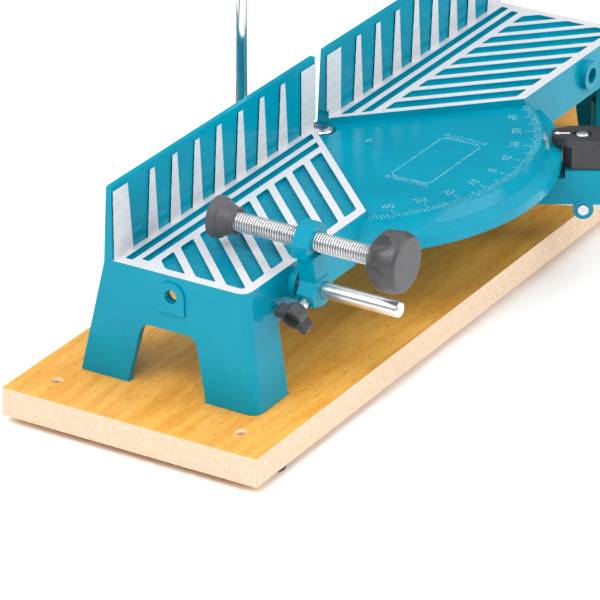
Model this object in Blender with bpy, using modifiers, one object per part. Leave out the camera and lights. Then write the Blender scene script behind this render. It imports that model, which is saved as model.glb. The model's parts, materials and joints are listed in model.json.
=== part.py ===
"""Base of a manual mitre saw: a cast table and fence with a protractor, a swing arm with
saw guide posts, and a screw clamp, all fixed to a wooden board.

Units are metres. X runs along the fence, Y towards the back and Z up, from the floor.
"""
import math

import bmesh
import bpy
from mathutils import Matrix, Vector

# ------------------------------------------------------------------ driving dimensions
GAP = 0.0003                      # space left between two pieces that touch
PIVOT_Y = 0.0711                  # the swing arm's pivot, at X = 0, behind the frame's origin

FOOT_HEIGHT = 0.005
BOARD_THICK = 0.019
BOARD_LENGTH = 0.570
BOARD_FRONT = PIVOT_Y - 0.1266
BOARD_BACK = PIVOT_Y + 0.0528
BOARD_TOP = FOOT_HEIGHT + BOARD_THICK

HALF_LENGTH = 0.240               # pivot to the casting's end face
TABLE_Z = BOARD_TOP + 0.0783
PLATE_Z = BOARD_TOP + 0.0735      # protractor plate, just below the table
FENCE_TOP = BOARD_TOP + 0.126
WALL = 0.005
TABLE_FRONT = PIVOT_Y - 0.0921
FOOT_FRONT = PIVOT_Y - 0.0994
FENCE_FACE = PIVOT_Y + 0.0012     # painted face of the fence
STRIPE_FACE = PIVOT_Y + 0.0003    # machined face of the fence's stripes
FENCE_BACK_TOP = PIVOT_Y + 0.0048
FENCE_BACK_LOW = PIVOT_Y + 0.0072
FOOT_BACK = PIVOT_Y + 0.0252
FENCE_GAP = 0.0065                # half the opening between the two fences
EDGE_OFFSET = 0.0092              # where a table's slanting edge would meet the pivot's X

ARM_ANGLE = math.radians(30.0)    # the swing arm's rest angle, from square to the fence
RIM_RADIUS = 0.141
SKIRT_RADIUS = 0.1535
ARM_LOW = BOARD_TOP + 0.029
ARM_TOP = BOARD_TOP + 0.047
ARM_STEP = BOARD_TOP + 0.0522     # the raised outer end that carries the pointer
ARM_HALF = 0.014
ARM_FRONT = 0.216
ARM_REAR = 0.066
FRONT_POST = 0.203
REAR_POST = 0.053
POST_RADIUS = 0.006
POST_TOP = BOARD_TOP + 0.190
SOCKET_TOP = BOARD_TOP + 0.062
GRUB_Z = BOARD_TOP + 0.056
SCREW_REACH = 0.1662              # the pointer screw, from the pivot
LEVER_PIN = (0.1674, BOARD_TOP + 0.0255)      # reach from the pivot, height

ROD_X = -0.1858
ROD_Z = BOARD_TOP + 0.065
ROD_RADIUS = 0.005
ROD_FRONT = PIVOT_Y - 0.1653
SPINDLE_X = -0.1876
SPINDLE_Z = BOARD_TOP + 0.0963
SPINDLE_RADIUS = 0.006
BRACKET_Y = PIVOT_Y - 0.1075      # middle of the clamp bracket's lower boss
PAD_FACE = PIVOT_Y - 0.0385
KNOB_BACK = PIVOT_Y - 0.1490

TEAL = (0.0, 0.33, 0.50, 1.0)
STEEL = (0.62, 0.63, 0.65, 1.0)
ZINC = (0.70, 0.71, 0.74, 1.0)
BLACK = (0.035, 0.035, 0.037, 1.0)
BEECH = (0.72, 0.50, 0.25, 1.0)
BRONZE = (0.55, 0.35, 0.15, 1.0)

# ------------------------------------------------------------------ an empty scene
for old in list(bpy.data.objects):
    bpy.data.objects.remove(old, do_unlink=True)

PARTS = bpy.data.collections.new("mitre_saw_base")
CUTTERS = bpy.data.collections.new("cutters")
bpy.context.scene.collection.children.link(PARTS)
bpy.context.scene.collection.children.link(CUTTERS)


# ------------------------------------------------------------------ modelling helpers
def material(name, colour, roughness, metallic):
    """A Principled material, made once for each finish."""
    found = bpy.data.materials.get(name)
    if found:
        return found
    made = bpy.data.materials.new(name)
    made.use_nodes = True
    shader = made.node_tree.nodes["Principled BSDF"]
    shader.inputs["Base Color"].default_value = colour
    shader.inputs["Roughness"].default_value = roughness
    shader.inputs["Metallic"].default_value = metallic
    return made


def finish(obj, look):
    """Makes obj a part of the model, in its own copy of a finish."""
    colour, roughness, metallic = look
    obj.data.materials.append(material(obj.name, colour, roughness, metallic))
    PARTS.objects.link(obj)
    CUTTERS.objects.unlink(obj)
    obj.hide_render = False
    obj.display_type = "TEXTURED"
    return obj


PAINT = (TEAL, 0.35, 0.0)
PLATED = (ZINC, 0.25, 1.0)
BARE_STEEL = (STEEL, 0.3, 1.0)
PLASTIC = (BLACK, 0.5, 0.0)
RUBBER = (BLACK, 0.8, 0.0)
WOOD = (BEECH, 0.4, 0.0)
BUSH = (BRONZE, 0.35, 1.0)


def mesh_object(name, bm):
    """An object from a bmesh, kept as a cutter until finish() makes it a part."""
    mesh = bpy.data.meshes.new(name)
    bm.normal_update()
    bm.to_mesh(mesh)
    bm.free()
    obj = bpy.data.objects.new(name, mesh)
    obj.hide_render = True
    obj.display_type = "WIRE"
    CUTTERS.objects.link(obj)
    return obj


def smooth(obj, degrees=30.0):
    obj.data.shade_smooth()
    obj.data.set_sharp_from_angle(angle=math.radians(degrees))
    return obj


def box(name, low, high):
    """A box between two corners."""
    bm = bmesh.new()
    bmesh.ops.create_cube(bm, size=1.0)
    low, high = Vector(low), Vector(high)
    bmesh.ops.scale(bm, vec=high - low, verts=bm.verts)
    bmesh.ops.translate(bm, vec=(high + low) / 2, verts=bm.verts)
    return mesh_object(name, bm)


def rod(name, start, end, radius, sides=32, end_radius=None):
    """A round bar, or a cone, from one point to another."""
    start, end = Vector(start), Vector(end)
    bm = bmesh.new()
    bmesh.ops.create_cone(bm, cap_ends=True, segments=sides, radius1=radius,
                          radius2=radius if end_radius is None else end_radius,
                          depth=(end - start).length)
    turn = (end - start).to_track_quat("Z", "Y").to_matrix().to_4x4()
    bmesh.ops.transform(bm, matrix=Matrix.Translation((start + end) / 2) @ turn, verts=bm.verts)
    return smooth(mesh_object(name, bm))


def prism(name, outline, start, end, plane="XY", rounding=0.0, segments=3):
    """A flat outline pushed from start to end along the axis that its plane leaves out.

    rounding rounds the edges that run along the push.
    """
    places = {"XY": lambda a, b, c: (a, b, c), "XZ": lambda a, b, c: (a, c, b),
              "YZ": lambda a, b, c: (c, a, b)}
    place = places[plane]
    bm = bmesh.new()
    face = bm.faces.new([bm.verts.new(place(a, b, start)) for a, b in outline])
    moved = bmesh.ops.extrude_face_region(bm, geom=[face])
    far = [v for v in moved["geom"] if isinstance(v, bmesh.types.BMVert)]
    bmesh.ops.translate(bm, vec=Vector(place(0.0, 0.0, end - start)), verts=far)
    bmesh.ops.recalc_face_normals(bm, faces=bm.faces)
    if rounding:
        away = Vector(place(0.0, 0.0, 1.0))
        along = [e for e in bm.edges
                 if abs((e.verts[0].co - e.verts[1].co).normalized().dot(away)) > 0.99]
        bmesh.ops.bevel(bm, geom=along, offset=rounding, segments=segments, affect="EDGES",
                        profile=0.5)
    return mesh_object(name, bm)


def turned(name, profile, steps=32, closed=False):
    """A profile of (radius, height) points, outer side downwards, turned about Z."""
    mesh = bpy.data.meshes.new(name)
    count = len(profile)
    edges = [(i, i + 1) for i in range(count - 1)]
    if closed:
        edges.append((count - 1, 0))
    mesh.from_pydata([(r, 0.0, h) for r, h in profile], edges, [])
    obj = bpy.data.objects.new(name, mesh)
    obj.hide_render = True
    obj.display_type = "WIRE"
    CUTTERS.objects.link(obj)
    screw = obj.modifiers.new("turn", "SCREW")
    screw.steps = steps
    screw.render_steps = steps
    screw.use_merge_vertices = True
    screw.merge_threshold = 0.00001
    return obj


def boolean(obj, others, operation):
    """One Boolean step of obj with all the others at once, kept in a collection of their own."""
    group = bpy.data.collections.new(f"{obj.name}_{operation.lower()}")
    CUTTERS.children.link(group)
    for other in others:
        group.objects.link(other)
        CUTTERS.objects.unlink(other)
    step = obj.modifiers.new(group.name, "BOOLEAN")
    step.operation = operation
    step.operand_type = "COLLECTION"
    step.collection = group
    step.solver = "EXACT"
    return obj


def cut(obj, *others):
    return boolean(obj, others, "DIFFERENCE")


def join(obj, *others):
    return boolean(obj, others, "UNION")


def arc(cx, cy, radius, first, last, steps):
    """Points on an arc, from one angle in degrees to another."""
    angles = [math.radians(first + (last - first) * i / steps) for i in range(steps + 1)]
    return [(cx + radius * math.cos(a), cy + radius * math.sin(a)) for a in angles]


def mirrored(outline):
    return [(-x, y) for x, y in reversed(outline)]


def sides():
    """The left and the right half of the casting: a name and the sign of X."""
    return (("left", -1.0), ("right", 1.0))


def pan_screw(name, x, y, top, head_radius, head, radius, length, up=True):
    """A pan-head screw along Z whose head ends at top; up says which way the head faces."""
    way = 1.0 if up else -1.0
    profile = [(0.0, 0.0), (head_radius * 0.75, -head * 0.08), (head_radius, -head * 0.45),
               (head_radius, -head), (radius, -head), (radius, -head - length + radius * 0.4),
               (radius * 0.6, -head - length), (0.0, -head - length)]
    obj = turned(name, profile, steps=14)
    obj.location = (x, y, top)
    obj.rotation_euler = (0.0 if way > 0 else math.pi, 0.0, 0.0)
    return obj


# ------------------------------------------------------------------ board and feet
def four_places(x, front, back):
    """Left and right, front and back: distances from the pivot."""
    return [(-x, PIVOT_Y + front), (x, PIVOT_Y + front), (-x, PIVOT_Y + back), (x, PIVOT_Y + back)]


FOOT_PLACES = four_places(0.249, -0.115, 0.040)
SCREW_PLACES = four_places(0.2275, -0.086, 0.010)
BENCH_HOLES = four_places(0.260, -0.1004, 0.0296)
FOOT_RADIUS = 0.0095
HEAD_RADIUS = 0.0055
HEAD_DEEP = 0.0045


def make_board():
    half = BOARD_LENGTH / 2
    board = box("board", (-half, BOARD_FRONT, FOOT_HEIGHT + GAP), (half, BOARD_BACK, BOARD_TOP))
    holes = []
    for n, (x, y) in enumerate(BENCH_HOLES):
        hole = turned(f"bench_hole_{n}", [(0.0, 0.05), (0.0060, BOARD_TOP + 0.002),
                                          (0.0025, BOARD_TOP - 0.0015), (0.0025, 0.0), (0.0, 0.0)], 16)
        hole.location = (x, y, 0.0)
        holes.append(hole)
    for n, (x, y) in enumerate(SCREW_PLACES):
        shoulder = FOOT_HEIGHT + HEAD_DEEP + 0.002
        hole = turned(f"screw_hole_{n}", [(0.0, 0.05), (0.0033, 0.05), (0.0033, shoulder),
                                          (HEAD_RADIUS + 0.001, shoulder),
                                          (HEAD_RADIUS + 0.001, 0.0), (0.0, 0.0)], 14)
        hole.location = (x, y, 0.0)
        holes.append(hole)
    for n, (x, y) in enumerate(FOOT_PLACES):
        holes.append(rod(f"foot_hole_{n}", (x, y, 0.0), (x, y, FOOT_HEIGHT + 0.014), 0.0021, 12))
    cut(board, *holes)
    finish(board, WOOD)


def make_feet():
    for n, (x, y) in enumerate(FOOT_PLACES, start=1):
        profile = [(0.0022, FOOT_HEIGHT), (FOOT_RADIUS, FOOT_HEIGHT), (FOOT_RADIUS - 0.0012, 0.0),
                   (0.0050, 0.0), (0.0050, 0.0024), (0.0022, 0.0024)]
        foot = turned(f"rubber_foot_{n}", profile, steps=20, closed=True)
        foot.location = (x, y, 0.0)
        smooth(finish(foot, RUBBER))


def screws_from_below(name, places, top, *sizes):
    """One screw at each place, heads down."""
    for n, (x, y) in enumerate(places, start=1):
        smooth(finish(pan_screw(f"{name}_{n}", x, y, top, *sizes, up=False), PLATED))


# ------------------------------------------------------------------ the casting
POCKET_COUNT = 9
POCKET_PITCH = 0.0214             # measured along X
POCKET_WIDTH = 0.0140
POCKET_LAST = 0.0163              # X of the last pocket's inner edge at the pivot's Y
POCKET_BACK = PIVOT_Y - 0.0232
POCKET_FRONT = PIVOT_Y - 0.0858
POCKET_END = HALF_LENGTH - 0.0068
POCKET_DEEP = 0.0022
SLOTS = [(PIVOT_Y - 0.0085, PIVOT_Y - 0.0032), (PIVOT_Y - 0.0180, PIVOT_Y - 0.0127)]
STRIPE_PITCH = 0.025
STRIPE_FIRST = 0.1967
STRIPE_COUNT = 7
STRIPE_TOP = BOARD_TOP + 0.122
OPENING_TOP = BOARD_TOP + 0.0495
REAR_OPENING_TOP = BOARD_TOP + 0.056
LEG_WIDTH = 0.034
PIVOT_BOSS = 0.0155
PIVOT_BOSS_LOW = BOARD_TOP + 0.0546
BOSS_Y = PIVOT_Y - 0.0403
DETENTS = (0.0, 15.0, 22.5, 30.0, 36.0, 45.0)


def edge_x(y, inset=0.0):
    """X of the left table's slanting edge at a given Y, moved inwards by inset."""
    return (y - PIVOT_Y) - EDGE_OFFSET - inset * math.sqrt(2.0)


def half_block(side, sign):
    """One end of the casting: table, fence and two legs as a hollow block."""
    ground = BOARD_TOP + GAP
    outline = [(FOOT_FRONT, ground), (TABLE_FRONT, TABLE_Z), (FENCE_FACE, TABLE_Z),
               (FENCE_FACE, FENCE_TOP), (FENCE_BACK_TOP, FENCE_TOP),
               (FENCE_BACK_LOW, TABLE_Z - 0.002), (FOOT_BACK, ground)]
    far = sign * HALF_LENGTH
    block = prism(f"{side}_block", outline, min(far, sign * FENCE_GAP),
                  max(far, sign * FENCE_GAP), "YZ")
    bm = bmesh.new()
    bm.from_mesh(block.data)
    corner = [e for e in bm.edges
              if all(abs(v.co.x - far) < 1e-6 and v.co.y < TABLE_FRONT + 1e-6 for v in e.verts)]
    bmesh.ops.bevel(bm, geom=corner, offset=0.0065, segments=4, affect="EDGES", profile=0.5)
    bm.to_mesh(block.data)
    bm.free()

    back, front = PIVOT_Y + 0.0005, FOOT_FRONT - 0.02
    wedge = [(edge_x(back), back), (edge_x(front), front), (0.02, front), (0.02, back)]
    if sign > 0:
        wedge = mirrored(wedge)
    cut(block, prism(f"{side}_wedge", wedge, 0.0, 0.3))

    slope = (FOOT_BACK - FENCE_BACK_LOW) / (TABLE_Z - 0.002 - ground)
    roof = TABLE_Z - 0.0053
    inner = [(FOOT_FRONT + WALL, 0.0), (TABLE_FRONT + WALL, roof),
             (FENCE_BACK_LOW - WALL, roof), (FOOT_BACK - WALL + slope * ground, 0.0)]
    hollow = prism(f"{side}_hollow", inner, min(sign * (HALF_LENGTH - WALL), sign * 0.013),
                   max(sign * (HALF_LENGTH - WALL), sign * 0.013), "YZ", rounding=0.002, segments=1)
    back = PIVOT_Y + 0.03
    rib = [(edge_x(back, WALL), back), (edge_x(front, WALL), front), (0.06, front), (0.06, back)]
    if sign > 0:
        rib = mirrored(rib)
    cut(hollow, prism(f"{side}_rib", rib, -0.01, 0.3))
    behind = box(f"{side}_behind_hollow", (min(sign * 0.190, sign * 0.020), PIVOT_Y - 0.020, 0.0),
                 (max(sign * 0.190, sign * 0.020), PIVOT_Y + 0.0015, roof))
    cut(block, hollow, behind)
    return block


def end_openings(side, sign):
    """A pad with a round top behind the hole in the end face; the arch below it and the hole."""
    arch = [(PIVOT_Y - 0.0640, BOARD_TOP - 0.002), (PIVOT_Y - 0.0563, BOARD_TOP + 0.042),
            (PIVOT_Y - 0.0190, BOARD_TOP + 0.042), (PIVOT_Y - 0.0072, BOARD_TOP - 0.002)]
    near, far = sign * (HALF_LENGTH - 0.012), sign * (HALF_LENGTH + 0.01)
    arch = prism(f"{side}_arch", arch, min(near, far), max(near, far), "YZ", rounding=0.0055)
    hole = rod(f"{side}_end_hole", (sign * 0.215, BOSS_Y, ROD_Z), (sign * 0.25, BOSS_Y, ROD_Z),
               0.0044, 24)
    radius = 0.0093
    pad = arc(BOSS_Y, ROD_Z, radius, 0.0, 180.0, 12)
    pad += [(BOSS_Y - radius, BOARD_TOP + 0.0540), (BOSS_Y + radius, BOARD_TOP + 0.0540)]
    outer, inner = sign * (HALF_LENGTH + 0.0014), sign * (HALF_LENGTH - 0.0035)
    pad = prism(f"{side}_end_pad", pad, min(inner, outer), max(inner, outer), "YZ")
    return [pad], [arch, hole]


def clamp_socket(side, sign):
    """The round boss on the front wall that takes a clamp rod, and its bore."""
    x = sign * abs(ROD_X)
    boss = rod(f"{side}_socket", (x, PIVOT_Y - 0.0975, ROD_Z), (x, PIVOT_Y - 0.075, ROD_Z),
               0.0098, 28)
    bore = rod(f"{side}_socket_hole", (x, PIVOT_Y - 0.11, ROD_Z), (x, PIVOT_Y - 0.078, ROD_Z),
               ROD_RADIUS + GAP, 24)
    return [boss], [bore]


def stripe(name, low_from, low_to, high_from, high_to, top, sign):
    """A machined stripe on the fence, from the table up."""
    outline = [(sign * low_from, TABLE_Z - 0.001), (sign * low_to, TABLE_Z - 0.001),
               (sign * high_to, top), (sign * high_from, top)]
    return prism(name, outline, STRIPE_FACE, FENCE_FACE + 0.001, "XZ")


def fence_stripes(side, sign):
    stripes = []
    for n in range(STRIPE_COUNT):
        middle = STRIPE_FIRST - n * STRIPE_PITCH
        stripes.append(stripe(f"{side}_stripe_{n}", middle + 0.0060, middle - 0.0060,
                              middle + 0.0026, middle - 0.0026, STRIPE_TOP, sign))
    stripes.append(stripe(f"{side}_end_stripe", HALF_LENGTH - 0.0006, 0.2185,
                          HALF_LENGTH - 0.0006, 0.2235, FENCE_TOP - 0.0030, sign))
    stripes.append(stripe(f"{side}_gap_stripe", 0.0245, FENCE_GAP + 0.0004, 0.0245,
                          FENCE_GAP + 0.0004, STRIPE_TOP, sign))
    return stripes


def clip_left(outline, limit):
    """The part of an outline with X above limit."""
    kept = []
    for (ax, ay), (bx, by) in zip(outline, outline[1:] + outline[:1]):
        if ax >= limit:
            kept.append((ax, ay))
        if (ax - limit) * (bx - limit) < 0:
            t = (limit - ax) / (bx - ax)
            kept.append((limit, ay + t * (by - ay)))
    return kept


def table_pockets(side, sign):
    """Slanting pockets and two long slots that leave a machined grid on the table."""
    floor, pockets = TABLE_Z - POCKET_DEEP, []
    back, front = POCKET_BACK - PIVOT_Y, POCKET_FRONT - PIVOT_Y
    for n in range(POCKET_COUNT):
        inner = -POCKET_LAST - n * POCKET_PITCH
        outer = inner - POCKET_WIDTH
        outline = [(outer + back, POCKET_BACK), (outer + front, POCKET_FRONT),
                   (inner + front, POCKET_FRONT), (inner + back, POCKET_BACK)]
        outline = clip_left(outline, -POCKET_END)
        if sign > 0:
            outline = mirrored(outline)
        pockets.append(prism(f"{side}_pocket_{n}", outline, floor, TABLE_Z + 0.002,
                             rounding=0.0012, segments=1))
    for n, (near, far) in enumerate(SLOTS):
        end = -0.2330 + 0.0035 * n
        outline = [(end, near), (edge_x(near, 0.004), near), (edge_x(far, 0.004), far), (end, far)]
        if sign > 0:
            outline = mirrored(outline)
        pockets.append(prism(f"{side}_slot_{n}", outline, floor, TABLE_Z + 0.002,
                             rounding=0.0008, segments=1))
    return pockets


def fence_corner(side, sign):
    """A cutter that rounds the fence's top outer corner."""
    radius, end = 0.002, HALF_LENGTH + 0.0003
    outline = [(end, FENCE_TOP + 0.001), (end, FENCE_TOP - radius)]
    outline += [(HALF_LENGTH - radius + a, FENCE_TOP - radius + b)
                for a, b in arc(0.0, 0.0, radius, 15.0, 90.0, 5)]
    outline += [(HALF_LENGTH - radius, FENCE_TOP + 0.001)]
    if sign < 0:
        outline = mirrored(outline)
    return prism(f"{side}_fence_corner", outline, PIVOT_Y - 0.01, PIVOT_Y + 0.02, "XZ")


def make_plate():
    """The protractor: a plate with a stepped rim and skirt, kept between the two tables."""
    top, under = PLATE_Z, PLATE_Z - 0.0055
    profile = [(0.0, top), (RIM_RADIUS, top), (RIM_RADIUS + 0.0012, top - 0.0030),
               (RIM_RADIUS + 0.0042, top - 0.0072), (SKIRT_RADIUS - 0.001, top - 0.0094),
               (SKIRT_RADIUS, top - 0.0104), (SKIRT_RADIUS, BOARD_TOP + 0.056),
               (SKIRT_RADIUS - 0.0045, BOARD_TOP + 0.056),
               (SKIRT_RADIUS - 0.0045, BOARD_TOP + 0.0602),
               (RIM_RADIUS - 0.001, BOARD_TOP + 0.0625), (RIM_RADIUS - 0.0045, under),
               (0.0, under)]
    plate = turned("base_casting", profile, steps=96)
    plate.location = (0.0, PIVOT_Y, 0.0)
    # the sector ends inside the walls of the two end blocks
    back, front = PIVOT_Y + 0.004, FOOT_FRONT - 0.08
    wall_x = edge_x(TABLE_FRONT, 0.003)
    sector = [(edge_x(back, 0.003), back), (wall_x, TABLE_FRONT + 0.0008),
              (-0.14, TABLE_FRONT - 0.0007), (-0.14, front)]
    sector += mirrored(sector)
    return boolean(plate, [prism("plate_sector", sector, 0.0, 0.3)], "INTERSECT")


def detent_notches():
    """Cutters for the notches inside the skirt, one at each common mitre angle."""
    notches = []
    for degrees in sorted({s * d for d in DETENTS for s in (-1.0, 1.0)}):
        notch = box(f"detent_{degrees:+.1f}", (-0.0016, 0.0020 - SKIRT_RADIUS, BOARD_TOP + 0.055),
                    (0.0016, 0.0065 - SKIRT_RADIUS, BOARD_TOP + 0.0600))
        notch.location = (0.0, PIVOT_Y, 0.0)
        notch.rotation_euler = (0.0, 0.0, math.radians(degrees))
        notches.append(notch)
    return notches


def wall_openings():
    """The long gaps between the legs, front and back, and the arm's way under the plate."""
    inner = HALF_LENGTH - LEG_WIDTH
    front = [(-inner + 0.0015, BOARD_TOP - 0.001), (inner - 0.0015, BOARD_TOP - 0.001),
             (inner + 0.0025, OPENING_TOP), (-inner - 0.0025, OPENING_TOP)]
    rear = [(x, REAR_OPENING_TOP if z > BOARD_TOP else z) for x, z in front]
    return [prism("front_opening", front, FOOT_FRONT - 0.002, TABLE_FRONT + 0.012, "XZ",
                  rounding=0.004, segments=3),
            prism("rear_opening", rear, PIVOT_Y - 0.001, FOOT_BACK + 0.01, "XZ",
                  rounding=0.004, segments=3),
            box("arm_way", (-0.150, TABLE_FRONT + 0.011, 0.0),
                (0.150, PIVOT_Y + 0.001, BOARD_TOP + 0.0543))]


def make_casting():
    casting = make_plate()
    added = [half_block("left", -1.0), half_block("right", 1.0),
             box("bridge", (-0.02, PIVOT_Y + 0.0008, REAR_OPENING_TOP - 0.004),
                 (0.02, PIVOT_Y + 0.0105, PLATE_Z - 0.0006)),
             rod("pivot_boss", (0.0, PIVOT_Y, PIVOT_BOSS_LOW), (0.0, PIVOT_Y, PLATE_Z - 0.001),
                 PIVOT_BOSS, 36)]
    removed = wall_openings() + detent_notches()
    for side, sign in sides():
        pads, holes = end_openings(side, sign)
        bosses, bores = clamp_socket(side, sign)
        added += pads + bosses + fence_stripes(side, sign)
        removed += holes + bores + table_pockets(side, sign) + [fence_corner(side, sign)]
    for n, (x, y) in enumerate(SCREW_PLACES):
        added.append(rod(f"leg_boss_{n}", (x, y, BOARD_TOP + 0.0006), (x, y, BOARD_TOP + 0.030),
                         0.0085, 24))
        removed.append(rod(f"leg_hole_{n}", (x, y, 0.0), (x, y, BOARD_TOP + 0.022), 0.0031, 16))
    bolt_hole = [(0.0, PLATE_Z + 0.01), (0.0093, PLATE_Z + 0.01), (0.0093, PLATE_Z - 0.0016),
                 (0.0053, PLATE_Z - 0.0016), (0.0053, 0.0), (0.0, 0.0)]
    hole = turned("bolt_hole", bolt_hole, steps=32)
    hole.location = (0.0, PIVOT_Y, 0.0)
    join(casting, *added)
    cut(casting, hole, *removed)
    finish(casting, PAINT)


# ------------------------------------------------------------------ the pivot
def make_pivot():
    top = PLATE_Z + 0.0022
    head, shank, end = 0.0078, 0.005, BOARD_TOP + 0.0165
    seat = PLATE_Z - 0.0016 + GAP
    profile = [(0.0, top), (head * 0.55, top - 0.0002), (head * 0.9, top - 0.0009),
               (head, top - 0.0018), (head, seat), (shank, seat), (shank, end + 0.001),
               (shank - 0.001, end), (0.0, end)]
    bolt = turned("pivot_bolt", profile, steps=24)
    bolt.location = (0.0, PIVOT_Y, 0.0)
    smooth(finish(bolt, PLATED))

    low = ARM_LOW - GAP
    washer = turned("pivot_washer", [(0.0053, low), (0.0105, low), (0.0105, low - 0.002),
                                     (0.0053, low - 0.002)], steps=24, closed=True)
    washer.location = (0.0, PIVOT_Y, 0.0)
    smooth(finish(washer, PLATED))

    nut_top = low - 0.002 - GAP
    nut = rod("pivot_nut", (0.0, PIVOT_Y, nut_top), (0.0, PIVOT_Y, nut_top - 0.008), 0.0095, 6)
    cut(nut, rod("nut_bore", (0.0, PIVOT_Y, 0.0), (0.0, PIVOT_Y, 0.2), 0.0053, 24))
    finish(nut, PLATED)

    bush = turned("pivot_bush", [(0.0053, ARM_TOP + 0.0070), (0.0075, ARM_TOP + 0.0070),
                                 (0.0075, ARM_LOW + 0.0003), (0.0053, ARM_LOW + 0.0003)],
                  steps=24, closed=True)
    bush.location = (0.0, PIVOT_Y, 0.0)
    smooth(finish(bush, BUSH))


# ------------------------------------------------------------------ swing arm
ARM_AXIS = bpy.data.objects.new("arm_axis", None)
PARTS.objects.link(ARM_AXIS)
ARM_AXIS.location = (0.0, PIVOT_Y, 0.0)
ARM_AXIS.rotation_euler = (0.0, 0.0, ARM_ANGLE)


def on_arm(obj, look):
    """Makes obj a part carried by the arm, whose outer end points along its own -Y."""
    obj.parent = ARM_AXIS
    return smooth(finish(obj, look))


def arm_cutter(obj):
    obj.parent = ARM_AXIS
    return obj


def arm_outline(half, front, rear, end_radius):
    """The arm from above, with round ends."""
    points = arc(0.0, -front + end_radius, end_radius, 180.0, 360.0, 14)
    points = [(max(-half, min(half, x)), y) for x, y in points]
    back = arc(0.0, rear - end_radius, end_radius, 0.0, 180.0, 14)
    return points + [(max(-half, min(half, x)), y) for x, y in back]


def make_arm():
    pin_r, pin_z = LEVER_PIN
    arm = prism("swing_arm", arm_outline(ARM_HALF, ARM_FRONT, ARM_REAR, ARM_HALF), ARM_LOW, ARM_TOP)
    raised = [(-ARM_HALF, -0.1552)] + arc(0.0, -ARM_FRONT + ARM_HALF, ARM_HALF, 180.0, 360.0, 14)
    raised += [(ARM_HALF, -0.1552)]
    added = [prism("arm_step", raised, ARM_LOW + 0.001, ARM_STEP),
             rod("arm_hub", (0.0, 0.0, ARM_LOW + 0.001), (0.0, 0.0, ARM_TOP + 0.0069), 0.0135, 32)]
    channel = [(-0.0095, ARM_LOW - 0.01), (0.0095, ARM_LOW - 0.01), (0.0095, ARM_TOP - 0.005),
               (-0.0095, ARM_TOP - 0.005)]
    removed = [prism("front_channel", channel, -FRONT_POST + 0.0125, -0.0195, "XZ"),
               prism("rear_channel", channel, 0.0195, REAR_POST - 0.0125, "XZ"),
               box("tooth_slot", (-0.0045, -0.1550, ARM_LOW), (0.0045, -0.1370, ARM_TOP + 0.002)),
               rod("hub_bore", (0.0, 0.0, 0.0), (0.0, 0.0, 0.2), 0.0078, 32),
               rod("pin_bore", (-0.02, -pin_r, pin_z), (0.02, -pin_r, pin_z), 0.0038, 20),
               rod("pointer_screw_bore", (0.0, -SCREW_REACH, ARM_TOP - 0.01),
                   (0.0, -SCREW_REACH, 0.2), 0.0023, 16)]
    for n, reach in enumerate((-FRONT_POST, REAR_POST)):
        added.append(rod(f"post_socket_{n}", (0.0, reach, ARM_LOW + 0.001),
                         (0.0, reach, SOCKET_TOP), 0.0105, 32))
        removed.append(rod(f"post_bore_{n}", (0.0, reach, ARM_LOW + 0.003), (0.0, reach, 0.2),
                           POST_RADIUS + GAP, 28))
        removed.append(rod(f"grub_bore_{n}", (-0.02, reach, GRUB_Z), (0.0, reach, GRUB_Z), 0.0024, 16))
    for n, side in enumerate((-1.0, 1.0)):
        added.append(rod(f"pin_cheek_{n}", (side * 0.0098, -pin_r, pin_z),
                         (side * (ARM_HALF + 0.0004), -pin_r, pin_z), 0.0066, 28))
    join(arm, *[arm_cutter(piece) for piece in added])
    cut(arm, *[arm_cutter(piece) for piece in removed])
    on_arm(arm, PAINT)


def make_posts():
    low = ARM_LOW + 0.003 + GAP
    for name, reach in (("front_post", -FRONT_POST), ("rear_post", REAR_POST)):
        profile = [(0.0, POST_TOP), (POST_RADIUS - 0.001, POST_TOP), (POST_RADIUS, POST_TOP - 0.001),
                   (POST_RADIUS, low), (0.0, low)]
        post = turned(name, profile, steps=28)
        post.location = (0.0, reach, 0.0)
        on_arm(post, PLATED)
        grub = rod(f"{name}_screw", (-0.0100, reach, GRUB_Z), (-POST_RADIUS - 2 * GAP, reach, GRUB_Z),
                   0.0020, 14)
        on_arm(grub, BARE_STEEL)


POINTER_TOP = BOARD_TOP + 0.0725
POINTER_LIP = 0.0050
POINTER_END = 0.1885


def make_pointer():
    """The black cover: a thin pointer over the rim and a deep block outside it."""
    half = 0.0122
    tip = [(-0.0040, -0.1467), (0.0040, -0.1467), (0.0068, -0.1488), (half, -0.1590),
           (half, -POINTER_END), (-half, -POINTER_END), (-half, -0.1590), (-0.0068, -0.1488)]
    tip = [(x, y) for x, y in reversed(tip)]
    cover = prism("pointer_cover", tip, POINTER_TOP - POINTER_LIP, POINTER_TOP)
    block = [(-0.0060, -0.1542), (-half, -0.1592), (-half, -POINTER_END), (half, -POINTER_END),
             (half, -0.1592), (0.0060, -0.1542)]
    join(cover, arm_cutter(prism("pointer_block", block, ARM_STEP + GAP, POINTER_TOP - 0.001)))
    slot = arc(0.0, -SCREW_REACH + 0.0012, 0.0050, 0.0, 180.0, 8)
    slot += arc(0.0, -SCREW_REACH - 0.0012, 0.0050, 180.0, 360.0, 8)
    cut(cover, arm_cutter(prism("screw_recess", slot, POINTER_TOP - 0.0022, POINTER_TOP + 0.002)),
        arm_cutter(rod("cover_bore", (0.0, -SCREW_REACH, 0.0), (0.0, -SCREW_REACH, 0.2),
                       0.0024, 16)))
    on_arm(cover, PLASTIC)
    screw = pan_screw("pointer_screw", 0.0, -SCREW_REACH, POINTER_TOP + 0.0008, 0.0045, 0.0027,
                      0.0020, 0.026)
    on_arm(screw, PLATED)


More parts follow.
